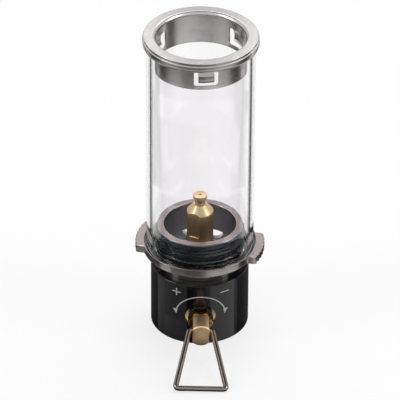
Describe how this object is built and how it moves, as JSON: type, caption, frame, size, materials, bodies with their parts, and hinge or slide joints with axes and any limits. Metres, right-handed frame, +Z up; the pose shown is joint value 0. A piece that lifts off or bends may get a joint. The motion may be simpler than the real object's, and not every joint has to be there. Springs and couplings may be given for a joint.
{
  "type": "gas lantern",
  "caption": "Small gas lantern: glass chimney with spring-held top collar, winged threaded ring, brass burner post in an air-windowed cup, black base, valve stem with wire handle.",
  "frame": {"origin": "middle of the box around the whole lantern as drawn, on the surface that it stands on; the lantern's own upright axis stands at x 0, y +14.35 mm, because the valve stem and the wire handle reach out in front", "axes": "+Z up along the lantern's axis; +X to the lantern's right as seen from the valve side; -Y towards the valve stem and its handle"},
  "size_m": [0.0484, 0.0714, 0.1235],
  "materials": {
    "black_aluminium": "glossy black anodised, turned",
    "gunmetal": "gunmetal nickel plating, bright turned faces",
    "brass": "bare machined brass",
    "stainless": "satin turned stainless steel",
    "wire_steel": "bright drawn stainless wire",
    "screw_steel": "plain steel",
    "glass": "clear borosilicate tube",
    "rubber": "matt moulded rubber",
    "silicone": "pale silicone rubber",
    "sintered_bronze": "matt sintered bronze"
  },
  "bodies": {
    "base": {"base_body": "black_aluminium", "valve_block": "brass", "block_screw_1": "screw_steel", "block_screw_2": "screw_steel", "block_screw_3": "screw_steel", "canister_seal": "rubber", "pin_depressor": "brass", "gland_washer": "rubber", "gland_nut": "brass", "gland_seal": "rubber", "burner_cup": "gunmetal", "burner_post": "brass", "gas_filter": "sintered_bronze", "burner_jet": "brass"},
    "needle_carrier": {"needle": "screw_steel"},
    "valve_stem": {"valve_spindle": "brass", "stem_head": "brass"},
    "handle": {"wire_handle": "wire_steel"},
    "glass_unit": {"glass_chimney": "glass", "glass_gasket": "silicone"},
    "ring": {"winged_ring": "gunmetal"},
    "collar": {"top_collar": "stainless", "spring_sleeve": "stainless"}
  },
  "joints": [
    {"name": "needle_travel", "type": "slide", "parent": "base", "child": "needle_carrier", "axis": [0, -1, 0], "range_m": [0, 0.0012]},
    {"name": "valve_turn", "type": "hinge", "parent": "needle_carrier", "child": "valve_stem", "pos_m": [0, -0.01205, 0.0118], "axis": [0, -1, 0], "range_deg": [0, 540]},
    {"name": "handle_swing", "type": "hinge", "parent": "valve_stem", "child": "handle", "pos_m": [0, -0.01205, 0.0118], "axis": [-0.9994, 0, 0.0349], "range_deg": [-60, 120]},
    {"name": "ring_lift", "type": "slide", "parent": "base", "child": "glass_unit", "axis": [0, 0, 1], "range_m": [0, 0.0075]},
    {"name": "ring_turn", "type": "hinge", "parent": "glass_unit", "child": "ring", "pos_m": [0, 0.01435, 0.0334], "axis": [0, 0, 1], "range_deg": [0, 1800]},
    {"name": "collar_lift", "type": "slide", "parent": "glass_unit", "child": "collar", "axis": [0, 0, 1], "range_m": [0, 0.012]}
  ],
  "couplings": [
    {"joint": "needle_travel", "follows": "valve_turn", "m_per_rad": 0.00012732},
    {"joint": "ring_turn", "follows": "ring_lift", "rad_per_m": 4188.8}
  ]
}
